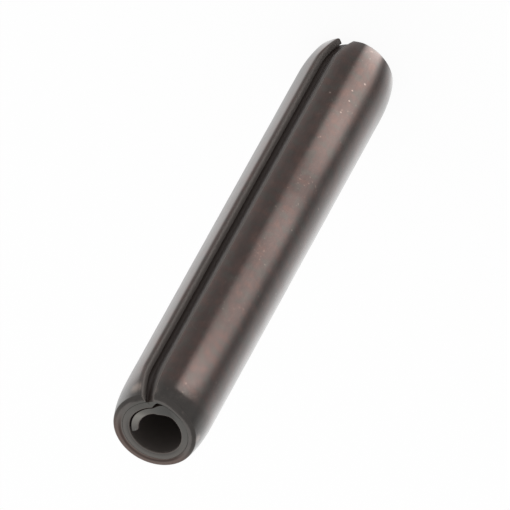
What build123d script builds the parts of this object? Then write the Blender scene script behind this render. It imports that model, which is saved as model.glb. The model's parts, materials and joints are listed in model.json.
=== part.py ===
"""Coiled spring pin: one strip of spring steel rolled into a tube of a little over two turns.

The pin stands on one swaged end, its foot, with its axis along +Z. The origin is the centre of
the foot's face. Angles around the axis are polar: 0 is +X and they grow counter-clockwise, seen
from above. Followed from its outer edge, the lip, the strip runs that way round and spirals
inwards. Beside the lip a step inwards, the jog, lets it pass under itself.
"""

import os

from build123d import *
from math import atan, cos, degrees, radians, sin, tan

# Sizes in millimetres, angles in degrees.
pin_diameter = 6.4  # over the free coil, which a hole of 6 mm squeezes
pin_length = 40.0
strip_thickness = 0.5
lap_gap = 0.03  # clearance between one lap and the next
edge_round = 0.34  # the rounded corner of the lip, and of the inner edge on the bore's side

# Where the seam lies on the straight body.
body_lip_angle = -38.0
body_jog_angle = -54.0
body_jog_width = 18.0

# Swaging winds the ends tighter and draws the lip and the jog beside it round clockwise.
foot_lip_angle = -47.0
foot_jog_angle = -67.5
foot_jog_width = 11.0
head_lip_angle = -51.0
head_jog_angle = -60.0
head_jog_width = 14.0

inner_jog_extra = 36.0  # how much wider the jog is one lap further in
inner_edge_angle = 23.0  # where the strip ends, inside the bore
inner_edge_spring = 0.2  # how far that free edge stands off the lap around it

end_diameter = 5.68  # of each swaged end, measured as if its rim were sharp
swage_length = 3.6  # from the end's face to the straight body
swage_power = 2.8  # how quickly the taper dies away from the face
foot_turn_power = 2.2  # how quickly the seam's turn dies away from the foot
head_turn_power = 1.3  # and from the head
nose_width = 0.45  # the rounding of the rim, measured across the face
nose_depth = 0.2  # and along the axis

swage_stations = 8  # sections along the taper of an end
nose_stations = 5  # sections along the rounding of its rim
curve_points = 9  # points along each jog
arcs_per_lap = 2

full_turn = 360.0
body_radius = pin_diameter / 2
end_radius = end_diameter / 2
lap_pitch = strip_thickness + lap_gap
body_seam = (body_lip_angle, body_jog_angle, body_jog_width)
foot_seam = (foot_lip_angle, foot_jog_angle, foot_jog_width)
head_seam = (head_lip_angle, head_jog_angle, head_jog_width)


def shares(count):
    """Returns this many numbers, evenly spaced from 0 to 1."""
    return [index / (count - 1) for index in range(count)]


def between(start, stop, share):
    """Returns the value this share of the way from start to stop."""
    return start + (stop - start) * share


def polar(radius, angle):
    """Returns the point at this radius and polar angle."""
    return Vector(radius * cos(radians(angle)), radius * sin(radians(angle)))


def lap_arcs(radius, start, stop):
    """Returns the arcs of a lap that keeps its radius."""
    points = [polar(radius, between(start, stop, share)) for share in shares(2 * arcs_per_lap + 1)]
    return [ThreePointArc(*points[2 * arc : 2 * arc + 3]) for arc in range(arcs_per_lap)]


def step_in(outer, inner, start, stop):
    """Returns a smooth step from the outer radius to the inner one."""
    points = [
        polar(between(outer, inner, share**2 * (3 - 2 * share)), between(start, stop, share))
        for share in shares(curve_points)
    ]
    tangents = [polar(1, start + full_turn / 4), polar(1, stop + full_turn / 4)]
    return Spline(*points, tangents=tangents)


def jog_lead(width, radius):
    """Returns how far a jog's inner side runs ahead, so that the strip keeps its thickness."""
    steepness = atan(1.5 * lap_pitch / (radians(width) * radius))
    return degrees(strip_thickness * tan(steepness / 2) / radius)


def strip_side(radius, rim_radius, seam, start, stop, lead):
    """Returns one side of the strip, from the lip's angle to the inner edge's.

    The outer lap lies at rim_radius and the laps inside it are counted in from radius. The jogs
    lie ahead of the seam's by lead.
    """
    _, jog, width = seam
    jog_start = full_turn + jog - width / 2 - lead
    jog_stop = jog_start + width
    inner_jog_stop = full_turn + jog_stop - jog_lead(width, radius)
    inner_jog_start = inner_jog_stop - width - inner_jog_extra
    second_radius = radius - lap_pitch
    third_radius = second_radius - lap_pitch
    return [
        *lap_arcs(rim_radius, start, jog_start),
        step_in(rim_radius, second_radius, jog_start, jog_stop),
        *lap_arcs(second_radius, jog_stop, inner_jog_start),
        step_in(second_radius, third_radius, inner_jog_start, inner_jog_stop),
        step_in(third_radius, third_radius - inner_edge_spring, inner_jog_stop, stop),
    ]


def rounded_edge(near_side, far_side, corner):
    """Returns the strip's cut edge from one side to the other, rounded where it leaves the first.

    The first side stops short of the corner, and the round takes the same length off the edge.
    """
    across = (far_side - corner).normalized()
    round_end = corner + across * (near_side - corner).length
    return [Bezier(near_side, corner, round_end), Line(round_end, far_side)]


def strip_section(height, radius, rim_radius, seam):
    """Returns the outline of the rolled strip at this height."""
    lip, _, width = seam
    inside_radius = radius - strip_thickness
    bore_radius = inside_radius - 2 * lap_pitch - inner_edge_spring
    inner_edge = 2 * full_turn + inner_edge_angle
    lip_round = edge_round * (rim_radius - inside_radius) / strip_thickness
    lip_start = lip + degrees(lip_round / rim_radius)
    inner_stop = inner_edge - degrees(edge_round / bore_radius)
    outside = strip_side(radius, rim_radius, seam, lip_start, inner_edge, 0)
    lead = jog_lead(width, radius)
    inside = strip_side(inside_radius, inside_radius, seam, lip, inner_stop, lead)
    lip_edge = rounded_edge(outside[0] @ 0, inside[0] @ 0, polar(rim_radius, lip))
    bore_edge = rounded_edge(inside[-1] @ 1, outside[-1] @ 1, polar(bore_radius, inner_edge))
    outline = Wire([*outside, *reversed(bore_edge), *reversed(inside), *reversed(lip_edge)])
    return outline.moved(Location((0, 0, height)))


def swaged_section(height, depth, rim_cut, end_seam, turn_power):
    """Returns an end's section, at this depth from its face and with this much off its rim."""
    nearness = 1 - depth / swage_length
    radius = between(body_radius, end_radius, nearness**swage_power)
    seam = [between(*places, nearness**turn_power) for places in zip(body_seam, end_seam)]
    return strip_section(height, radius, radius - rim_cut, seam)


def skin(stretch):
    """Returns the faces along a stretch of the strip, without the lowest and the highest."""
    return stretch.faces().sort_by(Axis.Z)[1:-1]


def swaged_skin(face_height, upwards, end_seam, turn_power):
    """Returns the skin of one end, with its face. Upwards is 1 if the pin runs up from it."""
    taper = []
    for share in shares(swage_stations):
        depth = between(nose_depth, swage_length, share**1.5)
        height = face_height + upwards * depth
        taper.append(swaged_section(height, depth, 0, end_seam, turn_power))
    nose = []
    for share in shares(nose_stations):
        turn = radians(full_turn / 4) * share
        depth = nose_depth * (1 - cos(turn))
        height = face_height + upwards * depth
        rim_cut = nose_width * (1 - sin(turn))
        nose.append(swaged_section(height, depth, rim_cut, end_seam, turn_power))
    face = Face(nose[0])
    if upwards < 0:
        taper.reverse()
        nose.reverse()
    return [*skin(Solid.make_loft(taper)), *skin(Solid.make_loft(nose)), face]


def body_skin():
    """Returns the skin of the straight body."""
    section = Face(strip_section(swage_length, body_radius, body_radius, body_seam))
    return skin(extrude(section, amount=pin_length - 2 * swage_length, dir=(0, 0, 1)))


def spring_pin():
    """Returns the whole pin as one solid."""
    foot = swaged_skin(0, 1, foot_seam, foot_turn_power)
    head = swaged_skin(pin_length, -1, head_seam, head_turn_power)
    return Solid(Shell([*foot, *body_skin(), *head]))


os.makedirs("parts", exist_ok=True)
pin = spring_pin()
print("volume", round(pin.volume, 2), "faces", len(pin.faces()), "valid", pin.is_valid)
export_step(pin, "parts/coiled_spring_pin.step")
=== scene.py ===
"""Dresses the coiled spring pin: its rolled strip in fine mesh, dark oiled steel, a white studio.

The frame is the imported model, in metres. Sizes here are millimetres and degrees until they are
written into a mesh or an object. Polar angles grow counter-clockwise from +X, seen from above.
The head is the upper end and the foot the lower one.
"""

import json
import math

import bpy
import numpy as np
from mathutils import Matrix, Vector


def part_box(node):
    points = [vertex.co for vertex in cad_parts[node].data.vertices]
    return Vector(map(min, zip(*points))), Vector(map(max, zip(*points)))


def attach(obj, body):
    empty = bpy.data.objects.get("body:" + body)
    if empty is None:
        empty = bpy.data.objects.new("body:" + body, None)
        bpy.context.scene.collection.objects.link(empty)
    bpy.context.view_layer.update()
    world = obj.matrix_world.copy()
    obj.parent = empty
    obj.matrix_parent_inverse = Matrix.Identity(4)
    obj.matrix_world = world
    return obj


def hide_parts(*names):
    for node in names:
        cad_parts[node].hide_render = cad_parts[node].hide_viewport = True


NODE = "coiled_spring_pin"
MM = 0.001
FULL_TURN = 360

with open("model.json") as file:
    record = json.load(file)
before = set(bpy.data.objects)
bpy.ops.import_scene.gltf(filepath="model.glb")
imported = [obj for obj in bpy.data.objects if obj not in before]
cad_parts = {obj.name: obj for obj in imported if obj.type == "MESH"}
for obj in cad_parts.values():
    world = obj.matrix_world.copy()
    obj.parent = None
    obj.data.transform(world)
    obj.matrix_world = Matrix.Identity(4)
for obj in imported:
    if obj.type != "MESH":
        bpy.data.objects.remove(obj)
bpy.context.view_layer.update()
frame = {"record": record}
low, high = (np.array(corner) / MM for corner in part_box(NODE))
mounts = {mount["name"]: mount["dims"] for mount in frame["record"]["mounts"]}

# ---------------------------------------------------------------- the strip's sizes

PIN_LENGTH = high[2] - low[2]
BODY_RADIUS = mounts["press_diameter"]["r_mm"]
SWAGE_LENGTH = (PIN_LENGTH - mounts["press_diameter"]["length_mm"]) / 2
SWAGE_POWER = 2.8  # how quickly the taper dies away from the face
END_SHARE = 0.8875  # a swaged end's radius over the body's
END_RADIUS = END_SHARE * BODY_RADIUS
NOSE_WIDTH = 0.47  # the rounding of the rim, across the face
NOSE_DEPTH = 0.2  # and along the axis
STRIP = 0.51
GAP = 0.01  # the real laps touch
PITCH = STRIP + GAP
EDGE_ROUND = 0.36  # the rounded corner of the lip, and of the inner edge on the bore's side
FOOT_EDGE_LOST = 0.9  # how much of it is gone at the foot's face
EDGE_SPRING = 0.13  # how far the strip's end stands off the lap around it
INNER_EDGE = 756.0  # polar angle at which the strip ends, two turns and 36 degrees in
# How much longer the inner jog is on its outer side and on the bore's side, and how much sooner
# it is over there.
INNER_JOG_EXTRA = (13.0, 30.0)
INNER_JOG_EARLY = (0.0, 5.0)

# Each seam: the polar angle of the lip and of the middle of the jog, and the jog's width.
BODY_SEAM = np.array([-38.0, -54.0, 18.0])
FOOT_SEAM = np.array([-47.0, -67.5, 11.0])
HEAD_SEAM = np.array([-51.0, -60.0, 14.0])
FOOT_TURN = 2.3  # how far up from the foot the seam bends
HEAD_TURN = 3.4  # and how far down from the head
TURN_POWER = 1.3  # how quickly the bend dies away from both

# How far the strip's end lies behind the foot's face beside the seam: at the lip, where the jog
# starts and stops, and under the lip. It is level again this many degrees away, on the outside
# and past the lip.
FOOT_SET_BACK = (0.0, 0.13, 0.05, 0.15)
SET_BACK_REACH = 12.0
SET_BACK_PAST_LIP = 70.0
# The foot's rim keeps this much of its corner at the lip, and over so many degrees beside it.
FOOT_LIP_KEPT = 0.7
FOOT_LIP_REACH = 16.0
# How far the bore lies off the axis at the head, and how quickly that dies away from its face.
HEAD_LEAN = np.array([-0.075, -0.2])
LEAN_POWER = 1.4
# The head's face sinks beside the seam: how far, at which polar angle, and how far to both sides.
HEAD_SINK = 0.17
HEAD_SINK_ANGLE = -70.0
HEAD_SINK_REACH = 45.0
FACE_POWER = 2  # how quickly the set-back and the sinking die away from their faces

BORE_BREAK = 0.1  # the rounding of the bore's edge on the faces
LAP_BREAK = 0.006  # and of the edges where two laps meet

# The rolled sheet is not quite round: the depth of its waves, their lengths along the pin and
# their turns round it, and where each starts.
WAVE_DEPTH = 0.012
WAVES = ((11.0, 2, 0.4), (6.3, -3, 1.9), (3.7, 4, 4.2), (2.6, -1, 2.7))

# Points along the strip: outer lap, jog, second lap, inner jog, free end.
SIDE_POINTS = (120, 24, 84, 24, 60)
SIDE_COUNT = sum(SIDE_POINTS) + 1
PAST_JOG_COUNT = sum(SIDE_POINTS[2:]) + 1
ROUND_POINTS = 8
EDGE_SHARES = np.array([[0.0], [0.4], [0.8]])  # where the points of the edge's flat part lie
EDGE_POINTS = ROUND_POINTS + len(EDGE_SHARES)
NOSE_LEVELS = 14
TAPER_LEVELS = 22
TAPER_CROWDING = 1.3  # how much closer they are at the nose
BODY_LEVELS = 46
SMOOTH_ANGLE = 38  # sharper edges than this stay sharp

# Shares of the look are kept with the mesh. The cut face's dies away over this many levels, and
# the rim's reaches this many and dies away over the last of them.
CUT_LEVELS = 2
RIM_LEVELS = NOSE_LEVELS + 2
RIM_FADE_LEVELS = 7
# The painted light and shade: 0 none, then a pale coat of painted light, the deepest painted shade,
# and 1 the bore's paler painted coat.
PALE_EDGE_LEVEL = 0.2
DEEP_SHADE_LEVEL = 0.6
# How the painted shade grows with the share of the way down the jog, and down the rounded lip.
JOG_SHARES = (0.0, 0.03, 0.38)
JOG_SHADING = (0.0, 0.32, DEEP_SHADE_LEVEL)
LIP_SHARES = (0.2, 0.45, 1.0)
LIP_SHADING = (0.0, PALE_EDGE_LEVEL, 0.3)
# How bright the innermost lap's face is rubbed, by points along its free end.
WEAR_POINTS = (0, 14, 28, 36, 60)
WEAR_LEVELS = (0.0, 0.06, 0.3, 0.22, 0.05)


def between(start, stop, share):
    return start + (stop - start) * share


STEEPEST = 1.5  # the slope of smoothstep halfway


def smoothstep(share):
    return share**2 * (3 - 2 * share)


def fade(depth, reach):
    """1 at a face, falling to 0 at this depth from it."""
    return max(0.0, 1 - depth / reach)


def rounding(depth, reach):
    """The share that a quarter round takes off at this depth: 1 at the face, 0 at its reach."""
    return 1 - math.sqrt(1 - fade(depth, reach) ** 2)


def polar(radius, angle):
    """Points at these radii and polar angles."""
    turn = np.radians(angle)
    return np.stack([radius * np.cos(turn), radius * np.sin(turn)], axis=-1)


def jog_lead(width, radius):
    """How far a jog's inner side runs ahead, so that the strip keeps its thickness."""
    steepness = np.arctan(STEEPEST * PITCH / (np.radians(width) * radius))
    return np.degrees(STRIP * np.tan(steepness / 2) / radius)


def strip_side(radius, rim_radius, seam, start, stop, lead=0.0):
    """Angles and radii along one side of the strip, from the lip to the inner edge.

    The jogs lie ahead of the seam's by lead, which only the side towards the bore has.
    """
    _, jog, width = seam
    side = int(lead > 0)
    jog_start = FULL_TURN + jog - width / 2 - lead
    jog_stop = jog_start + width
    inner_stop = FULL_TURN + jog_stop - jog_lead(width, radius) - INNER_JOG_EARLY[side]
    inner_start = inner_stop - width - INNER_JOG_EXTRA[side]
    second = radius - PITCH
    third = second - PITCH
    ends = (start, jog_start, jog_stop, inner_start, inner_stop, stop)
    radii = ((rim_radius,) * 2, (rim_radius, second), (second,) * 2, (second, third))
    radii += ((third, third - EDGE_SPRING),)
    angles, distances = [], []
    for part, count in enumerate(SIDE_POINTS):
        share = np.arange(count) / count
        angles.append(between(ends[part], ends[part + 1], share))
        distances.append(between(*radii[part], smoothstep(share)))
    angles.append([stop])
    distances.append([third - EDGE_SPRING])
    return np.concatenate(angles), np.concatenate(distances)


def past_jog():
    """How far each point of a side is past the jog: 0 on the outer lap, 1 on those inside it."""
    jog = smoothstep(np.linspace(0, 1, SIDE_POINTS[1]))
    return np.concatenate([np.zeros(SIDE_POINTS[0]), jog, np.ones(PAST_JOG_COUNT)])


def rounded_edge(near_side, corner, far_side):
    """Points along the strip's cut edge, rounded at the corner next to its first side."""
    length = np.linalg.norm(near_side - corner)
    across = (far_side - corner) / np.linalg.norm(far_side - corner)
    round_end = corner + across * length
    share = (np.arange(ROUND_POINTS) + 1)[:, None] / (ROUND_POINTS + 1)
    curve = (1 - share) ** 2 * near_side + 2 * share * (1 - share) * corner + share**2 * round_end
    return np.concatenate([curve, between(round_end, far_side, EDGE_SHARES)])


def lean_followed(angle, lean, nose):
    """How much of the lean the strip's outer side has, along X and along Y.

    The outside of the outer lap has none of it along X. Along Y it has it where it faces that
    way, and on the nose all round. The laps inside it have all of it.
    """
    towards = np.degrees(np.arctan2(lean[1], lean[0]))
    facing = (1 + np.cos(np.radians(angle - towards))) / 2
    inside = past_jog()
    return np.column_stack([inside, between(between(facing, 1, nose), 1, inside)])


def section(radius, nose, face_break, seam, lean, edge_round, lip_kept):
    """The rolled strip's outline: outer side, inner edge, inner side and lip, as one loop.

    Nose and face_break, from 0 to 1, are how much of the rim's rounding and of the small rounding
    of every other edge is taken off. All but the outside of the outer lap lies off the axis by
    lean, and that outside stays within the body's radius. Lip_kept is how much of the nose isn't
    taken off at the lip.
    """
    lip, _, width = seam
    inside = radius - STRIP
    rim = radius - nose * NOSE_WIDTH
    bore = inside - 2 * PITCH - EDGE_SPRING
    outer_start = lip + np.degrees(edge_round * (rim - inside) / STRIP / rim)
    inner_stop = INNER_EDGE - np.degrees(edge_round / bore)
    outer_angle, outer_radius = strip_side(radius, rim, seam, outer_start, INNER_EDGE)
    lead = jog_lead(width, radius)
    inner_angle, inner_radius = strip_side(inside, inside, seam, lip, inner_stop, lead)
    by_lip = smoothstep(np.clip(1 - (outer_angle - outer_angle[0]) / FOOT_LIP_REACH, 0, 1))
    outer_radius += by_lip * lip_kept * nose * NOSE_WIDTH - face_break * LAP_BREAK
    # Only the second lap's inner side and the third lap's reach the bore.
    inner_radius += face_break * between(LAP_BREAK, BORE_BREAK, past_jog())
    follows = lean_followed(outer_angle, lean, nose)
    outer = polar(outer_radius, outer_angle) + follows * lean
    outer /= np.maximum(np.linalg.norm(outer, axis=1) / BODY_RADIUS, 1)[:, None]
    inner = polar(inner_radius, inner_angle) + lean
    bore_corner = polar(inner_radius[-1], INNER_EDGE) + lean
    lip_corner = polar(outer_radius[0], lip) + follows[0] * lean
    inner_edge = rounded_edge(inner[-1], bore_corner, outer[-1])[::-1]
    lip_edge = rounded_edge(outer[0], lip_corner, inner[0])[::-1]
    return np.concatenate([outer, inner_edge, inner[::-1], lip_edge])


def along_loop(outer, inner):
    """Values for a whole loop from those of its outer and its inner side."""
    inner_edge = np.linspace(outer[-1], inner[-1], EDGE_POINTS)
    lip_edge = np.linspace(inner[0], outer[0], EDGE_POINTS)
    return np.concatenate([outer, inner_edge, inner[::-1], lip_edge])


def foot_set_back():
    """How far each point of the strip's end lies behind the foot's face, beside the seam."""
    lip, jog, width = FOOT_SEAM
    jog_start = FULL_TURN + jog - width / 2
    under_lip = FULL_TURN + lip
    places = (lip, lip + SET_BACK_REACH, jog_start - SET_BACK_REACH, jog_start)
    places += (jog_start + width, under_lip, under_lip + SET_BACK_PAST_LIP)
    values = (FOOT_SET_BACK[0], 0, 0, *FOOT_SET_BACK[1:], 0)
    angle, _ = strip_side(END_RADIUS, END_RADIUS, FOOT_SEAM, lip, INNER_EDGE)
    along = np.interp(angle, places, values)
    return along_loop(along, along)


def head_sink(outline):
    """How far the head's face lies below its rim's level at each point of a loop."""
    angle = np.degrees(np.arctan2(outline[:, 1], outline[:, 0]))
    nearness = np.clip(1 - abs(angle - HEAD_SINK_ANGLE) / HEAD_SINK_REACH, 0, 1)
    return HEAD_SINK * smoothstep(nearness)


def waved(outline, height):
    """The outline with the strip's waves pressed into it."""
    turn = np.arctan2(outline[:, 1], outline[:, 0])
    waves = [
        np.sin(2 * np.pi * height / length + turns * turn + start) for length, turns, start in WAVES
    ]
    share = WAVE_DEPTH * (sum(waves) / len(WAVES) - 1) / 2 / BODY_RADIUS
    return outline * (1 + share)[:, None]


def loop_at(height):
    """The section at this height, as points in space."""
    to_foot = height
    to_head = PIN_LENGTH - height
    depth = min(to_foot, to_head)
    radius = between(BODY_RADIUS, END_RADIUS, fade(depth, SWAGE_LENGTH) ** SWAGE_POWER)
    foot_turned = fade(to_foot, FOOT_TURN) ** TURN_POWER
    head_turned = fade(to_head, HEAD_TURN) ** TURN_POWER
    seam = BODY_SEAM + foot_turned * (FOOT_SEAM - BODY_SEAM) + head_turned * (HEAD_SEAM - BODY_SEAM)
    lean = HEAD_LEAN * fade(to_head, SWAGE_LENGTH) ** LEAN_POWER
    edge_round = EDGE_ROUND * (1 - FOOT_EDGE_LOST * fade(to_foot, FOOT_TURN))
    lip_kept = FOOT_LIP_KEPT if to_foot < to_head else 0
    breaks = rounding(depth, NOSE_DEPTH), rounding(depth, BORE_BREAK)
    outline = waved(section(radius, *breaks, seam, lean, edge_round, lip_kept), height)
    behind = foot_set_back() * fade(to_foot, SWAGE_LENGTH) ** FACE_POWER
    behind -= head_sink(outline) * fade(to_head, SWAGE_LENGTH) ** FACE_POWER
    return np.column_stack([outline, height + behind])


def heights():
    """Where the sections lie, close together at the noses."""
    turn = np.radians(90) * np.arange(NOSE_LEVELS) / (NOSE_LEVELS - 1)
    taper = ((np.arange(TAPER_LEVELS) + 1) / TAPER_LEVELS) ** TAPER_CROWDING
    end = np.append(NOSE_DEPTH * (1 - np.cos(turn)), between(NOSE_DEPTH, SWAGE_LENGTH, taper))
    body = (np.arange(BODY_LEVELS) + 1) / (BODY_LEVELS + 1)
    middle = between(SWAGE_LENGTH, PIN_LENGTH - SWAGE_LENGTH, body)
    return np.concatenate([end, middle, PIN_LENGTH - end[::-1]])


def loop_painted_shading():
    """The painted light and shade at each point of a loop: painted shade in the seam's groove and
    down the jog, painted light on the lip, and the bore's paler coat.
    """
    jog = np.interp(np.linspace(0, 1, SIDE_POINTS[1]), JOG_SHARES, JOG_SHADING)
    inside = np.full(PAST_JOG_COUNT, DEEP_SHADE_LEVEL)
    outer = np.concatenate([np.zeros(SIDE_POINTS[0]), jog, inside])
    painted_shading = along_loop(outer, np.ones(SIDE_COUNT))
    painted_shading[-EDGE_POINTS:] = np.interp(np.linspace(1, 0, EDGE_POINTS), LIP_SHARES, LIP_SHADING)
    return painted_shading


def third_lap_wear():
    """How bright each point of the head's innermost lap is rubbed: most where it comes free."""
    start = sum(SIDE_POINTS[:4])
    rubbed = np.interp(np.arange(SIDE_COUNT) - start, WEAR_POINTS, WEAR_LEVELS)
    return along_loop(rubbed, rubbed)


def side_polygons(levels, count):
    """The strip's sides: a ring of quads between each loop and the next."""
    polygons = []
    for base in range(0, (levels - 1) * count, count):
        for i in range(count):
            j = (i + 1) % count
            polygons.append([base + i, base + j, base + count + j, base + count + i])
    return polygons


def face_polygons(first, count, upwards):
    """The flat face over one loop: a row of quads along the strip and one cap at each end."""
    outer = first + np.arange(SIDE_COUNT)
    inner = first + SIDE_COUNT + EDGE_POINTS + np.arange(SIDE_COUNT)[::-1]
    polygons = [
        [int(outer[i]), int(outer[i + 1]), int(inner[i + 1]), int(inner[i])]
        for i in range(SIDE_COUNT - 1)
    ]
    for start in (SIDE_COUNT - 1, 2 * SIDE_COUNT + EDGE_POINTS - 1):
        polygons.append([first + (start + step) % count for step in range(EDGE_POINTS + 2)])
    return polygons if upwards else [polygon[::-1] for polygon in polygons]


def add_looks(mesh, sides, head_face, levels, count):
    """Keeps the look's shares with the mesh's corners, of which the sides' come first."""
    corners = np.array(sides).ravel()
    point = corners % count
    level = corners // count
    from_face = np.minimum(level, levels - 1 - level)
    outermost = (point <= SIDE_POINTS[0]) | (point > count - ROUND_POINTS)
    rim = outermost * smoothstep(np.clip((RIM_LEVELS - from_face) / RIM_FADE_LEVELS, 0, 1))
    cut = np.clip(1 - from_face / CUT_LEVELS, 0, 1)
    worn = third_lap_wear()[np.concatenate(head_face) - (levels - 1) * count]
    on_faces = len(mesh.loops) - len(corners)
    looks = {
        "painted_shading": np.append(loop_painted_shading()[point], np.zeros(on_faces)),
        "cut": np.append(cut, np.ones(on_faces)),
        "rim": np.append(rim, np.zeros(on_faces)),
        "worn": np.append(np.zeros(len(mesh.loops) - len(worn)), worn),
    }
    for name, shares in looks.items():
        mesh.attributes.new(name, "FLOAT", "CORNER").data.foreach_set("value", shares)


def build_pin():
    """The rolled strip as one closed mesh."""
    loops = [loop_at(height) for height in heights()]
    levels, count = len(loops), len(loops[0])
    sides = side_polygons(levels, count)
    foot_face = face_polygons(0, count, False)
    head_face = face_polygons((levels - 1) * count, count, True)
    mesh = bpy.data.meshes.new("rolled_strip")
    vertices = np.concatenate(loops) * MM
    mesh.from_pydata(vertices.tolist(), [], sides + foot_face + head_face)
    add_looks(mesh, sides, head_face, levels, count)
    mesh.shade_smooth()
    mesh.set_sharp_from_angle(angle=math.radians(SMOOTH_ANGLE))
    pin = bpy.data.objects.new("rolled_strip", mesh)
    bpy.context.scene.collection.objects.link(pin)
    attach(pin, "root")
    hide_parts(NODE)
    return pin


pin = build_pin()

# ---------------------------------------------------------------- the steel


class Nodes:
    """Adds nodes to a material's tree and links them."""

    def __init__(self, name):
        self.material = bpy.data.materials.new(name)
        self.material.use_nodes = True
        self.tree = self.material.node_tree
        self.tree.nodes.clear()

    def add(self, kind, inputs=None, **settings):
        node = self.tree.nodes.new(kind)
        for key, value in settings.items():
            setattr(node, key, value)
        for key, value in (inputs or {}).items():
            if isinstance(value, bpy.types.NodeSocket):
                self.tree.links.new(value, node.inputs[key])
            else:
                node.inputs[key].default_value = value
        return node

    def math(self, operation, *values, clamp=False):
        inputs = dict(enumerate(values))
        return self.add("ShaderNodeMath", inputs, operation=operation, use_clamp=clamp).outputs[0]

    def vector(self, operation, *values):
        node = self.add("ShaderNodeVectorMath", dict(enumerate(values)), operation=operation)
        return node.outputs["Value" if operation in ("DISTANCE", "LENGTH") else "Vector"]

    def place(self):
        """The place on the object, in millimetres."""
        place = self.add("ShaderNodeTexCoord").outputs["Object"]
        return self.vector("MULTIPLY", place, (1 / MM,) * 3)

    def split(self, place):
        return self.add("ShaderNodeSeparateXYZ", {0: place}).outputs

    def attribute(self, name):
        return self.add("ShaderNodeAttribute", attribute_name=name).outputs["Fac"]

    def remap(self, value, low_in, high_in, low_out=0.0, high_out=1.0):
        inputs = {0: value, 1: low_in, 2: high_in, 3: low_out, 4: high_out}
        return self.add("ShaderNodeMapRange", inputs, interpolation_type="SMOOTHSTEP").outputs[0]

    def remap_evenly(self, value, low_in, high_in):
        return self.add("ShaderNodeMapRange", {0: value, 1: low_in, 2: high_in}).outputs[0]

    def ramp(self, value, stops):
        node = self.add("ShaderNodeValToRGB", {"Fac": value})
        ramp = node.color_ramp
        while len(ramp.elements) < len(stops):
            ramp.elements.new(0.5)
        for element, (place, shade) in zip(ramp.elements, stops):
            element.position = place
            element.color = (shade,) * 3 + (1,)
        return node.outputs["Color"]

    def mix(self, factor, first, second, blend="MIX"):
        node = self.add("ShaderNodeMix", data_type="RGBA", blend_type=blend)
        for place, value in zip((0, 6, 7), (factor, first, second)):
            if isinstance(value, bpy.types.NodeSocket):
                self.tree.links.new(value, node.inputs[place])
            elif isinstance(value, tuple):
                node.inputs[place].default_value = (*value, 1)
            else:
                node.inputs[place].default_value = value
        return node.outputs[2]

    def noise(self, place, scale, detail, seed, roughness):
        inputs = {"Vector": place, "Scale": scale, "Detail": detail, "Roughness": roughness}
        node = self.add("ShaderNodeTexNoise", inputs, noise_dimensions="4D")
        node.inputs["W"].default_value = seed
        return node.outputs["Fac"]

    def finish(self, shader):
        self.add("ShaderNodeOutputMaterial", {"Surface": shader})
        return self.material


# Noise textures: how many swells to a millimetre, the detail, the seed and the roughness.
CLOUDS = (0.75, 3.0, 3.1, 0.55)
TINTS = (1.3, 2.0, 8.4, 0.5)
GRAIN = (5.0, 4.0, 1.7, 0.65)
GRAIN_STRETCH = (1, 1, 0.3)  # it is drawn out along the pin
PITS = (11.0, 2.0, 5.2, 0.6)
THIN_PLACES = (0.5, 2.0, 12.6, 0.5)
SPECKS = (4.2, 1.0, 6.9, 0.4)
SWELL = (0.3, 0.7)  # the range that a noise texture really fills

OXIDE = (0.047, 0.032, 0.028)  # the even brown-black skin
OXIDE_RED = (0.055, 0.0335, 0.028)
OXIDE_GREY = (0.043, 0.035, 0.0305)
OXIDE_HEAD = (0.045, 0.0405, 0.0375)  # the head's taper is greyer still
GREY_TINTS = (0.36, 0.5)  # the tint's levels from grey to even
RED_TINTS = (0.5, 0.66)  # and from even to red
HEAD_GREY = (37.6, 39.2)  # the heights between which the head's grey begins
CLOUD_SHADES = (0.92, 1.08)
GRAIN_SHADES = (0.93, 1.08)

BARE_AND_HIGHLIGHT = (0.30, 0.24, 0.21)  # worn through to the metal, and the colour of two painted highlights near the head
THIN_LEVELS = (0.47, 0.62)
SPECK_LEVELS = (0.64, 0.74)
SPECK_STRENGTH = 0.15
# Small places where the oxide is rubbed bright, and two painted highlights near the head's face:
# degrees round from -Y towards -X, height, size, and how bright.
WORN_AND_HIGHLIGHT_SPOTS = (
    (-12.2, 6.3, 0.10, 0.7),
    (10.4, 5.1, 0.09, 0.6),
    (13.4, 6.1, 0.09, 0.6),
    (11.0, 7.5, 0.09, 0.5),
    (3.6, 10.6, 0.08, 0.4),
    (20.4, 3.8, 0.11, 0.6),
    (-1.2, 16.5, 0.08, 0.3),
    (-27.7, 20.0, 0.09, 0.5),
    (29.1, 19.5, 0.09, 0.4),
    (49.6, 15.7, 0.12, 0.4),
    (19.8, 23.9, 0.08, 0.3),
    # Near the head's face; those at -51.5 and 68 degrees are painted highlights on the taper's
    # sides.
    (-51.5, 39.0, 0.60, 0.8),
    (-26.5, 39.3, 0.45, 0.4),
    (68.0, 39.6, 0.45, 0.8),
)
# In shares of a spot's size: how ragged it is, and between which distances it fades.
SPOT_RAGGED = 0.5
SPOT_FADE = (0.4, 1.4)
SPOT_STRENGTH = 0.6

CUT = (0.050, 0.046, 0.042)  # the sheared ends, greyer than the rolled sides
CUT_FRONT = (0.035, 0.034, 0.031)  # and darker on the side of the seam
CUT_FADE = (-2.6, 1.0)  # between which places along Y they change
DARKER_FACE = (0.006, 0.006, 0.006)
DARK_PATCH = (-0.10, -1.9, 40.0)  # the middle of a darker patch of the head's face
DARK_PATCH_FADE = (0.2, 1.3, 0.36, 0.0)  # from where to where it fades, and its strengths there
BORE_DARK_FADE = (1.84, 2.2, 0.55, 0.0)  # the same for a ring of it round the bore
BORE_DARK_SIDE = (-0.5, 0.8)  # between which places along Y that ring begins
RUBBED = (0.22, 0.21, 0.19)

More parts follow.
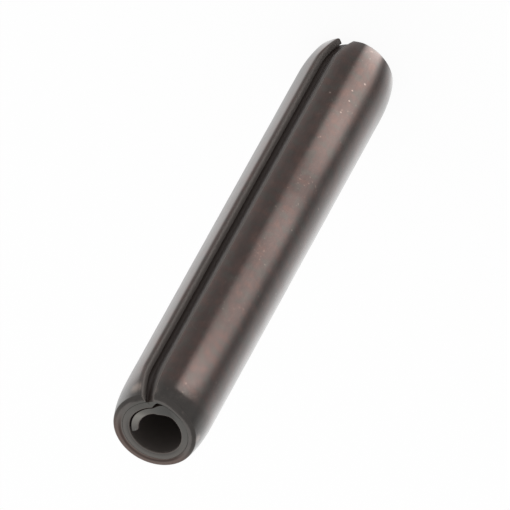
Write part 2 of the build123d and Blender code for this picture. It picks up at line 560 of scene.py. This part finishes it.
PAINTED_PALE_EDGE = (0.120, 0.105, 0.097)  # painted light: a pale dull coat at the seam's edges, on the lip's cut face and the jog's top
DEEP_PAINTED_SHADE = (0.014, 0.0080, 0.0060)  # painted shade, darkest in the depth of the seam's groove
PAINTED_BORE_LIGHT = (0.095, 0.082, 0.075)  # painted light: a paler dull coat in the bore, lifting it out of its shade
PAINTED_RIM_REFLECTION = (0.105, 0.068, 0.056)  # painted reflection: darker brown over the rounded rims, on the side away from the seam
PAINTED_RING_SHADE = (0.030, 0.014, 0.009)  # painted shade in a ring where the head's flat face turns into its rounded rim
RIM_SIDE = (-1.0, 1.5)  # between which places along Y both begin
RING_RADIUS = 2.36
RING_FADE = (0.03, 0.2, 1.0, 0.0)  # from where to where it fades beside that, and its strengths
RING_HEIGHTS = (39.0, 39.3)
PAINTED_COAT_COVER = 0.92  # how much of the steel each of the three painted coats of light and shade hides
RIM_COVER = 0.8
RING_COVER = 0.95

STEEL_ROUGHNESS = (0.13, 0.20)
GRAIN_ROUGHNESS = 0.06
COAT_WEIGHT = 0.3
COAT_ROUGHNESS = 0.12
# The dull painted coat of light and shade, rough and faintly glossy.
PAINTED_COAT_ROUGHNESS = 0.6
PAINTED_COAT_SPECULAR = 0.2
PIT_SHARE = 0.5  # how deep the pits are beside the grain
BUMP_DEPTH = 0.012
BUMP_STRENGTH = 0.25


def oxide_colour(nodes, place, height, clouds, grain):
    """The skin: redder or greyer in places, cloudy, and grained along the pin."""
    tint = nodes.noise(place, *TINTS)
    oxide = nodes.mix(nodes.remap(tint, *GREY_TINTS), OXIDE_GREY, OXIDE)
    oxide = nodes.mix(nodes.remap(tint, *RED_TINTS), oxide, OXIDE_RED)
    oxide = nodes.mix(nodes.remap(height, *HEAD_GREY), oxide, OXIDE_HEAD)
    by_clouds = nodes.remap(clouds, *SWELL, *CLOUD_SHADES)
    level = nodes.math("MULTIPLY", by_clouds, nodes.remap(grain, *SWELL, *GRAIN_SHADES))
    shade = nodes.add("ShaderNodeCombineXYZ", {0: level, 1: level, 2: level}).outputs[0]
    return nodes.mix(1.0, oxide, shade, "MULTIPLY")


def bare_and_highlight_share(nodes, place, pits):
    """How bare the metal is: fine specks where the oxide is thin, and the worn spots, two of which
    are painted highlights.
    """
    thin = nodes.remap(nodes.noise(place, *THIN_PLACES), *THIN_LEVELS)
    specks = nodes.remap(nodes.noise(place, *SPECKS), *SPECK_LEVELS)
    bare_and_highlight = nodes.math("MULTIPLY", nodes.math("MULTIPLY", specks, thin), SPECK_STRENGTH)
    for side, height, size, strength in WORN_AND_HIGHLIGHT_SPOTS:
        turn = math.radians(side)
        middle = (-BODY_RADIUS * math.sin(turn), -BODY_RADIUS * math.cos(turn), height)
        away = nodes.vector("DISTANCE", place, middle)
        ragged = nodes.math("MULTIPLY_ADD", pits, SPOT_RAGGED * size, away)
        near, far = (share * size for share in SPOT_FADE)
        spot = nodes.remap(ragged, near, far, SPOT_STRENGTH * strength, 0.0)
        bare_and_highlight = nodes.math("MAXIMUM", bare_and_highlight, spot)
    return bare_and_highlight


def sheared_colour(nodes, place, flat, across):
    """The cut faces at both ends, darker in two places."""
    sheared = nodes.mix(nodes.remap(across, *CUT_FADE), CUT_FRONT, CUT)
    away = nodes.vector("DISTANCE", place, DARK_PATCH)
    sheared = nodes.mix(nodes.remap(away, *DARK_PATCH_FADE), sheared, DARKER_FACE)
    from_bore = nodes.vector("DISTANCE", flat, (*HEAD_LEAN, 0))
    by_bore = nodes.remap(from_bore, *BORE_DARK_FADE)
    by_bore = nodes.math("MULTIPLY", by_bore, nodes.remap(across, *BORE_DARK_SIDE))
    return nodes.mix(by_bore, sheared, DARKER_FACE)


def rim_shares(nodes, flat, across, height):
    """Where the painted reflection lies on the rounded rims, and where the painted shade lies in
    the ring on the head's.
    """
    on_side = nodes.remap(across, *RIM_SIDE)
    off = nodes.math("SUBTRACT", nodes.vector("LENGTH", flat), RING_RADIUS)
    ring = nodes.remap(nodes.math("ABSOLUTE", off), *RING_FADE)
    ring = nodes.math("MULTIPLY", ring, nodes.remap(height, *RING_HEIGHTS))
    ring = nodes.math("MULTIPLY", ring, on_side)
    return nodes.math("MULTIPLY", nodes.attribute("rim"), on_side), ring


# The painted coat's colour: pale painted light at the seam's edges, painted shade in the groove, a
# paler painted coat in the bore, the rims' painted reflection and the ring's painted shade.
def colour_of_painted_coat(nodes, painted_shading, rim, ring):
    painted_coat = nodes.mix(nodes.remap(painted_shading, PALE_EDGE_LEVEL, DEEP_SHADE_LEVEL), PAINTED_PALE_EDGE, DEEP_PAINTED_SHADE)
    painted_coat = nodes.mix(nodes.remap(painted_shading, DEEP_SHADE_LEVEL, 1.0), painted_coat, PAINTED_BORE_LIGHT)
    painted_coat = nodes.mix(rim, painted_coat, PAINTED_RIM_REFLECTION)
    return nodes.mix(ring, painted_coat, PAINTED_RING_SHADE)


def cover_of_painted_coat(nodes, painted_shading, rim, ring):
    """How much of the steel the painted coat of light and shade hides."""
    covered = nodes.remap(painted_shading, 0.0, PALE_EDGE_LEVEL, 0.0, PAINTED_COAT_COVER)
    covered = nodes.math("MAXIMUM", covered, nodes.math("MULTIPLY", rim, RIM_COVER))
    return nodes.math("MAXIMUM", covered, nodes.math("MULTIPLY", ring, RING_COVER))


def make_steel():
    """Oxidised spring steel, glossy, partly under a dull painted coat of light and shade."""
    nodes = Nodes("oiled_spring_steel")
    place = nodes.place()
    _, across, height = nodes.split(place)
    flat = nodes.vector("MULTIPLY", place, (1, 1, 0))
    clouds = nodes.noise(place, *CLOUDS)
    grain = nodes.noise(nodes.vector("MULTIPLY", place, GRAIN_STRETCH), *GRAIN)
    pits = nodes.noise(place, *PITS)

    oxide = oxide_colour(nodes, place, height, clouds, grain)
    colour = nodes.mix(bare_and_highlight_share(nodes, place, pits), oxide, BARE_AND_HIGHLIGHT)
    sheared = sheared_colour(nodes, place, flat, across)
    colour = nodes.mix(nodes.attribute("cut"), colour, sheared)
    colour = nodes.mix(nodes.attribute("worn"), colour, RUBBED)
    roughness = nodes.remap(clouds, *SWELL, *STEEL_ROUGHNESS)
    roughness = nodes.math("MULTIPLY_ADD", grain, GRAIN_ROUGHNESS, roughness)
    relief = {
        "Height": nodes.math("MULTIPLY_ADD", pits, PIT_SHARE, grain),
        "Strength": BUMP_STRENGTH,
        "Distance": BUMP_DEPTH * MM,
    }
    normal = nodes.add("ShaderNodeBump", relief).outputs[0]
    steel = nodes.add(
        "ShaderNodeBsdfPrincipled",
        {
            "Base Color": colour,
            "Metallic": 1.0,
            "Roughness": roughness,
            "Coat Weight": COAT_WEIGHT,
            "Coat Roughness": COAT_ROUGHNESS,
            "Normal": normal,
        },
    ).outputs[0]

    painted_shading = nodes.attribute("painted_shading")
    rim, ring = rim_shares(nodes, flat, across, height)
    painted_coat = nodes.add(
        "ShaderNodeBsdfPrincipled",
        {
            "Base Color": colour_of_painted_coat(nodes, painted_shading, rim, ring),
            "Roughness": PAINTED_COAT_ROUGHNESS,
            "Specular IOR Level": PAINTED_COAT_SPECULAR,
            "Normal": normal,
        },
    ).outputs[0]
    covered = cover_of_painted_coat(nodes, painted_shading, rim, ring)
    return nodes.finish(nodes.add("ShaderNodeMixShader", {0: covered, 1: steel, 2: painted_coat}).outputs[0])


pin.data.materials.append(make_steel())

# ---------------------------------------------------------------- the studio

ELEVATION = 46.26  # how far above the level the camera looks down from

FLOOR_REACH = 3000.0
FLOOR_COLOUR = 0.8
FLOOR_GLOW = 0.94  # how much of the plain white the camera and the steel see of it


def make_floor():
    """A white floor that keeps the pin's shadow."""
    reach = FLOOR_REACH * MM
    corners = [(-reach, -reach, 0), (reach, -reach, 0), (reach, reach, 0), (-reach, reach, 0)]
    mesh = bpy.data.meshes.new("floor")
    mesh.from_pydata(corners, [], [(0, 1, 2, 3)])
    floor = bpy.data.objects.new("floor", mesh)
    bpy.context.scene.collection.objects.link(floor)
    nodes = Nodes("white_floor")
    path = nodes.add("ShaderNodeLightPath").outputs
    seen = nodes.math("MAXIMUM", path["Is Camera Ray"], path["Is Glossy Ray"])
    seen = nodes.math("MAXIMUM", seen, path["Is Transmission Ray"])
    diffuse = nodes.add("ShaderNodeBsdfDiffuse", {"Color": (*(FLOOR_COLOUR,) * 3, 1)}).outputs[0]
    glow = nodes.add("ShaderNodeEmission", {"Color": (1, 1, 1, 1), "Strength": 1.0}).outputs[0]
    share = nodes.math("MULTIPLY", seen, FLOOR_GLOW)
    mixed = nodes.add("ShaderNodeMixShader", {0: share, 1: diffuse, 2: glow}).outputs[0]
    floor.data.materials.append(nodes.finish(mixed))


make_floor()

# What the steel mirrors of the floor, where 1 is the plain white of it: the floor all round, and
# a brighter band on it. Both go by the angle through which the pin turns the view round from -Y
# towards -X.
FLOOR_LEVELS = (
    (-180, 0.70),
    (-160, 0.90),
    (-140, 1.30),
    (-125, 1.75),
    (-112, 1.80),
    (-98, 1.30),
    (-70, 1.12),
    (-54, 1.42),
    (-42, 1.12),
    (-30, 0.98),
    (60, 0.95),
    (72, 0.74),
    (84, 0.88),
    (97, 1.30),
    (112, 1.48),
    (133, 1.70),
    (150, 1.40),
    (180, 1.00),
)
BAND_LEVELS = (
    (-9, 0.0),
    (-4, 0.7),
    (2, 1.7),
    (9, 2.3),
    (20, 2.65),
    (34, 2.85),
    (46, 2.4),
    (54, 1.4),
    (62, 0.35),
    (72, 0.0),
)
# The band's strength by the height on the pin that mirrors it.
BAND_BY_HEIGHT = (
    (0.0, 1.70),
    (4.0, 1.30),
    (8.0, 1.55),
    (11.5, 1.30),
    (14.7, 0.50),
    (19.8, 1.45),
    (23.8, 0.70),
    (27.0, 1.20),
    (29.5, 0.65),
    (32.6, 1.15),
    (34.4, 0.30),
    (36.6, 4.00),
    (40.0, 4.20),
)
# Where it ends: so far from the axis at -Y, and this much nearer with each degree towards -X.
BAND_END = 40.6
BAND_END_SLANT = 0.055
BAND_END_SOFTNESS = 1.0
BAND_TINT = (1.0, 0.94, 0.915)
BAND_TINT_GAIN = 2.0  # how quickly the tint comes with the band
# The floor beyond what the straight body mirrors: between which distances it begins, and how
# bright it is.
FLOOR_FAR_FROM = (36.0, 48.0)
FLOOR_FAR = 0.9
CARD_RADIUS = 90.0
CARD_POINTS = 128
CARD_LIFT = 0.2


def levels_by(nodes, value, levels, start, stop):
    """The levels as a ramp over this range, and the level that its white stands for."""
    peak = max(level for _, level in levels)
    stops = [((place - start) / (stop - start), level / peak) for place, level in levels]
    return nodes.ramp(nodes.remap_evenly(value, start, stop), stops), peak


def card_light(nodes):
    """The colour and the strength of what the steel mirrors."""
    place = nodes.place()
    x, y, _ = nodes.split(place)
    turn = nodes.math("ARCTAN2", nodes.math("MULTIPLY", x, -1.0), nodes.math("MULTIPLY", y, -1.0))
    azimuth = nodes.math("DEGREES", turn)
    away = nodes.vector("LENGTH", place)
    # Near the pin the mirrored rays have not yet fanned out, so the same azimuth is a larger turn.
    twice = nodes.math("MULTIPLY", away, 2.0)
    wider = nodes.math("DIVIDE", twice, nodes.math("SUBTRACT", twice, BODY_RADIUS))
    turned = nodes.math("MULTIPLY", azimuth, wider)
    half_turn = FULL_TURN / 2
    floor, floor_peak = levels_by(nodes, turned, FLOOR_LEVELS, -half_turn, half_turn)
    band, band_peak = levels_by(nodes, turned, BAND_LEVELS, -half_turn, half_turn)
    rise = math.tan(math.radians(ELEVATION))
    height = nodes.math("MULTIPLY", nodes.math("SUBTRACT", away, BODY_RADIUS), rise)
    by_height, height_peak = levels_by(nodes, height, BAND_BY_HEIGHT, 0, PIN_LENGTH)
    slanted = nodes.math("MULTIPLY_ADD", azimuth, BAND_END_SLANT, away)
    soft = BAND_END_SOFTNESS
    inside = nodes.remap(slanted, BAND_END - soft, BAND_END + soft, 1.0, 0.0)
    band = nodes.math("MULTIPLY", nodes.math("MULTIPLY", band, by_height), inside)
    tinted = nodes.math("MULTIPLY", band, BAND_TINT_GAIN, clamp=True)
    colour = nodes.mix(tinted, (1.0, 1.0, 1.0), BAND_TINT)
    band = nodes.math("MULTIPLY", band, band_peak * height_peak)
    floor = nodes.math("MULTIPLY", floor, nodes.remap(away, *FLOOR_FAR_FROM, 1.0, FLOOR_FAR))
    return colour, nodes.math("MULTIPLY_ADD", floor, floor_peak, band)


def make_card():
    """A disc on the floor that only the steel sees, brighter on some sides than on others."""
    turn = FULL_TURN * np.arange(CARD_POINTS) / CARD_POINTS
    outline = np.column_stack([polar(CARD_RADIUS, turn), np.zeros(CARD_POINTS)]) * MM
    mesh = bpy.data.meshes.new("floor_card")
    mesh.from_pydata(outline.tolist(), [], [list(range(CARD_POINTS))])
    card = bpy.data.objects.new("floor_card", mesh)
    card.location.z = CARD_LIFT * MM
    bpy.context.scene.collection.objects.link(card)
    nodes = Nodes("floor_card")
    colour, strength = card_light(nodes)
    glow = nodes.add("ShaderNodeEmission", {"Color": colour, "Strength": strength}).outputs[0]
    card.data.materials.append(nodes.finish(glow))
    card.visible_camera = False
    card.visible_diffuse = False
    card.visible_shadow = False
    card.visible_transmission = False


make_card()


def make_world():
    """Even white light from all sides."""
    world = bpy.data.worlds.new("tent")
    world.use_nodes = True
    background = world.node_tree.nodes["Background"]
    background.inputs["Color"].default_value = (1, 1, 1, 1)
    background.inputs["Strength"].default_value = 1.0
    bpy.context.scene.world = world


make_world()

KEY_WAY = (0, 0.70, 0.71)  # the way to it from the pin
KEY_DISTANCE = 400.0
KEY_SIDE = 300.0
KEY_POWER = 0.3


def make_key():
    """A soft box behind and above, which the head's face mirrors to the camera."""
    lamp = bpy.data.lights.new("key", "AREA")
    lamp.size = KEY_SIDE * MM
    lamp.energy = KEY_POWER
    key = bpy.data.objects.new("key", lamp)
    way = Vector(KEY_WAY).normalized()
    key.location = way * KEY_DISTANCE * MM
    key.rotation_mode = "QUATERNION"
    key.rotation_quaternion = way.to_track_quat("Z", "Y")
    bpy.context.scene.collection.objects.link(key)


make_key()

# ---------------------------------------------------------------- the camera

PICTURE_LEAN = 28.95  # how far the pin's axis leans from upright in the picture
PICTURE_WIDTH = 34.1  # how much it shows at the pin, from side to side
HALF_VIEW = 0.7  # the angle from the picture's middle to its side
SHIFT_RIGHT = 0.043  # from the pin's middle to the picture's
SHIFT_UP = -0.338
SENSOR_WIDTH = 36.0
NEAREST = 10.0  # between which distances it sees anything
FARTHEST = 10000.0


def make_camera():
    """Looks down from -Y, turned so that the head comes to the picture's lower left."""
    rise = math.radians(ELEVATION)
    lean = math.radians(PICTURE_LEAN)
    back = Vector((0, -math.cos(rise), math.sin(rise)))
    along = Vector((0, -math.sin(rise), -math.cos(rise)))
    across = Vector((-1, 0, 0))
    up = math.cos(lean) * along - math.sin(lean) * across
    right = math.cos(lean) * across + math.sin(lean) * along
    half_view = math.tan(math.radians(HALF_VIEW))
    distance = PICTURE_WIDTH / 2 / half_view
    middle = Vector((0, 0, PIN_LENGTH / 2)) + SHIFT_RIGHT * right + SHIFT_UP * up
    data = bpy.data.cameras.new("camera")
    data.sensor_width = SENSOR_WIDTH
    data.lens = SENSOR_WIDTH / 2 / half_view
    data.clip_start = NEAREST * MM
    data.clip_end = FARTHEST * MM
    camera = bpy.data.objects.new("camera", data)
    turned = Matrix((right, up, back)).transposed().to_4x4()
    turned.translation = (middle + back * distance) * MM
    camera.matrix_world = turned
    bpy.context.scene.collection.objects.link(camera)
    bpy.context.scene.camera = camera


make_camera()
bpy.context.scene.view_settings.view_transform = "Standard"
